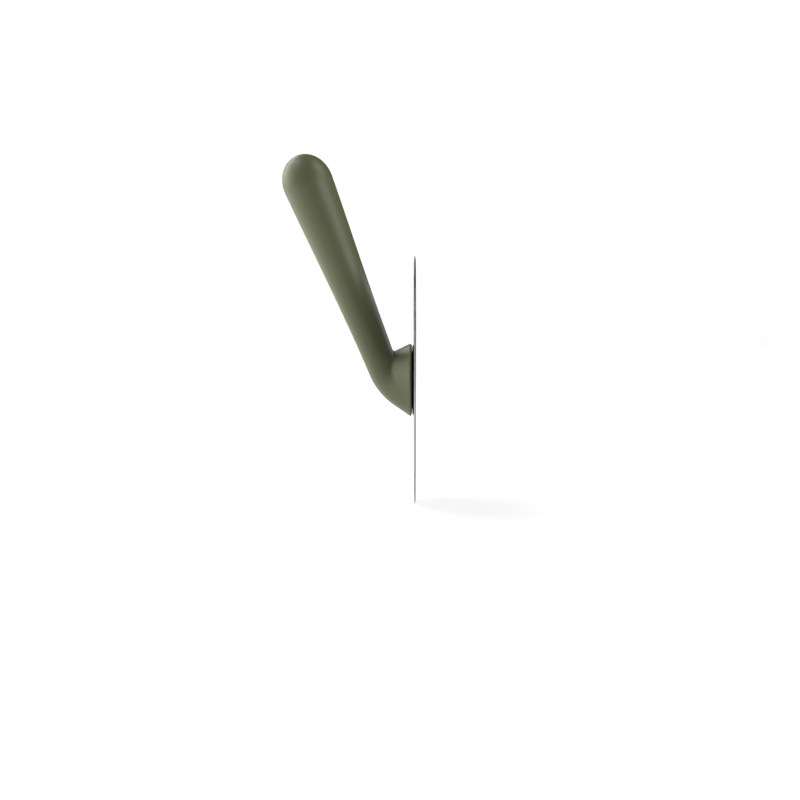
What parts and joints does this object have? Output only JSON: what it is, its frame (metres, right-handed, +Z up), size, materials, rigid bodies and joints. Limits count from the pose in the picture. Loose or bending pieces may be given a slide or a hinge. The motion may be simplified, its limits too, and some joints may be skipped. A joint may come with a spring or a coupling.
{
  "type": "pizza wheel",
  "caption": "Pizza wheel: a round ground-steel blade spins freely beside the flared hub of a slanted, dome-ended moulded handle and cuts as it rolls.",
  "frame": {"origin": "centre of the blade's outer face, on the axle's axis", "axes": "+X along the axle, out of the blade's outer face and away from the handle; +Z up, the way the handle rises; the part is symmetric about the X-Z plane"},
  "size_m": [0.0668, 0.125, 0.1759],
  "materials": {
    "grip_green": "satin moulded, sage green, fine texture",
    "core_plastic": "plain moulded",
    "bush_plastic": "moulded bearing plastic",
    "washer_plastic": "smooth low-friction plastic",
    "blade_steel": "ground and polished stainless steel with a ground bevel",
    "black_plastic": "satin moulded",
    "axle_steel": "turned stainless steel",
    "spring_steel": "blackened spring steel"
  },
  "bodies": {
    "handle": {"handle_grip": "grip_green", "handle_core": "core_plastic", "bearing_bush": "bush_plastic", "thrust_washer": "washer_plastic"},
    "wheel": {"blade": "blade_steel", "backing_disc": "black_plastic", "axle": "axle_steel", "end_washer": "axle_steel", "retaining_ring": "spring_steel"}
  },
  "joints": [
    {"name": "wheel_spin", "type": "hinge", "parent": "handle", "child": "wheel", "pos_m": [0, 0, 0], "axis": [1, 0, 0], "continuous": true}
  ]
}
